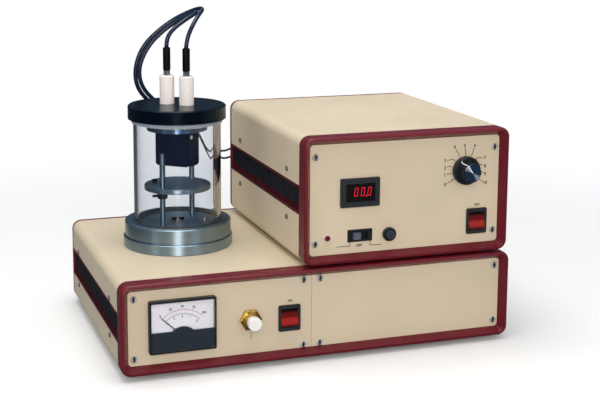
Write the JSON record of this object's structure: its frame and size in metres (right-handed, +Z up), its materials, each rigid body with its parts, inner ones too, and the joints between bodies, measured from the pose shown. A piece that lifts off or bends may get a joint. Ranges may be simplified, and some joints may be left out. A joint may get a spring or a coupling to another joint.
{
  "type": "bench coater",
  "caption": "Bench vacuum coater: glass chamber with evaporation head and stage on a wide gauge and pump case, with a power supply case stacked beside it.",
  "frame": {"origin": "middle of the footprint on the surface it stands on", "axes": "+Z up, front panels face -Y, +X to the viewer's right"},
  "size_m": [0.4976, 0.37, 0.4135],
  "materials": {
    "case_paint": "fine textured paint",
    "bezel_plastic": "moulded, satin",
    "slate_strip": "satin",
    "rail_metal": "satin paint",
    "screw_steel": "plated",
    "foot_rubber": "matt",
    "panel_paint": "satin",
    "black_plastic": "satin",
    "gloss_black": "gloss",
    "dial_white": "matt",
    "clear_window": "clear",
    "brass": "turned",
    "white_plastic": "satin",
    "red_lens": "translucent",
    "grey_plastic": "satin",
    "spun_aluminium": "spun",
    "iron": "varnished",
    "board_green": "solder mask",
    "steel": "brushed",
    "base_aluminium": "turned",
    "glass": "clear",
    "seal_rubber": "matt",
    "lid_black": "satin black",
    "ptfe": "matt",
    "ceramic": "glazed ceramic",
    "carbon": "graphite",
    "boot_rubber": "matt",
    "lead_silicone": "satin",
    "copper": "drawn copper tube"
  },
  "bodies": {
    "root": {"base_collar": "base_aluminium", "base_ring": "base_aluminium", "blank_panel": "panel_paint", "bottom_covers": "case_paint", "button_switch": "black_plastic", "chamber_ports": "steel", "circuit_boards": "board_green", "control_panel": "panel_paint", "cover_screws": "screw_steel", "display_case": "black_plastic", "display_window": "red_lens", "feet": "foot_rubber", "gas_tube": "copper", "gauge_head": "steel", "hose_port": "steel", "lamp_bezel": "white_plastic", "lamp_lens": "red_lens", "lead_glands": "black_plastic", "leak_valve": "brass", "lower_front_bezel": "bezel_plastic", "lower_top_cover": "case_paint", "mains_inlets": "black_plastic", "meter_case": "gloss_black", "meter_dial": "dial_white", "meter_window": "clear_window", "mode_switch": "black_plastic", "panel_screws": "screw_steel", "rear_bezels": "bezel_plastic", "rear_panels": "panel_paint", "rocker_frames": "black_plastic", "side_rails": "rail_metal", "side_strips": "slate_strip", "stage_posts": "steel", "supply_leads": "boot_rubber", "transformers": "iron", "upper_front_bezel": "bezel_plastic", "upper_panel": "panel_paint", "upper_top_cover": "case_paint", "vacuum_manifold": "steel", "voltage_control": "iron"},
    "glass": {"glass_cylinder": "glass", "glass_seals": "seal_rubber"},
    "lid": {"lid": "lid_black", "insulating_disc": "ptfe", "head_shield": "lid_black", "insulators": "ceramic", "electrodes": "steel", "lead_boots": "boot_rubber", "carbon_rods": "carbon", "head_leads": "lead_silicone"},
    "stage": {"stage_disc": "base_aluminium", "stage_clamp": "black_plastic"},
    "voltage_knob": {"voltage_knob": "gloss_black", "voltage_knob_cap": "spun_aluminium"},
    "leak_knob": {"leak_knob": "white_plastic"},
    "lower_rocker": {"lower_rocker": "red_lens"},
    "upper_rocker": {"upper_rocker": "red_lens"},
    "mode_slider": {"mode_slider": "grey_plastic"},
    "pulse_button": {"pulse_button": "grey_plastic"},
    "meter_needle": {"meter_needle": "black_plastic"}
  },
  "joints": [
    {"name": "glass_lift", "type": "slide", "parent": "root", "child": "glass", "axis": [0, 0, 1], "range_m": [0, 0.1]},
    {"name": "lid_lift", "type": "slide", "parent": "glass", "child": "lid", "axis": [0, 0, 1], "range_m": [0, 0.07]},
    {"name": "stage_height", "type": "slide", "parent": "root", "child": "stage", "axis": [0, 0, 1], "range_m": [-0.022, 0.012]},
    {"name": "voltage_turn", "type": "hinge", "parent": "root", "child": "voltage_knob", "pos_m": [0.1866, -0.163, 0.2208], "axis": [0, 1, 0], "range_deg": [-95.5, 152.5]},
    {"name": "leak_turn", "type": "hinge", "parent": "root", "child": "leak_knob", "pos_m": [-0.0905, -0.163, 0.058], "axis": [0, 1, 0], "range_deg": [0, 1080]},
    {"name": "lower_power", "type": "hinge", "parent": "root", "child": "lower_rocker", "pos_m": [-0.0418, -0.16, 0.0552], "axis": [1, 0, 0], "range_deg": [0, 16]},
    {"name": "upper_power", "type": "hinge", "parent": "root", "child": "upper_rocker", "pos_m": [0.2034, -0.16, 0.1557], "axis": [1, 0, 0], "range_deg": [0, 16]},
    {"name": "mode_slide", "type": "slide", "parent": "root", "child": "mode_slider", "axis": [1, 0, 0], "range_m": [0, 0.01]},
    {"name": "pulse_press", "type": "slide", "parent": "root", "child": "pulse_button", "axis": [0, 1, 0], "range_m": [0, 0.002], "stiffness_N_per_m": 400, "springref_m": -0.0005},
    {"name": "needle_swing", "type": "hinge", "parent": "root", "child": "meter_needle", "pos_m": [-0.1736, -0.164, 0.0485], "axis": [0, 1, 0], "range_deg": [0, 96], "stiffness_Nm_per_rad": 0.002}
  ]
}
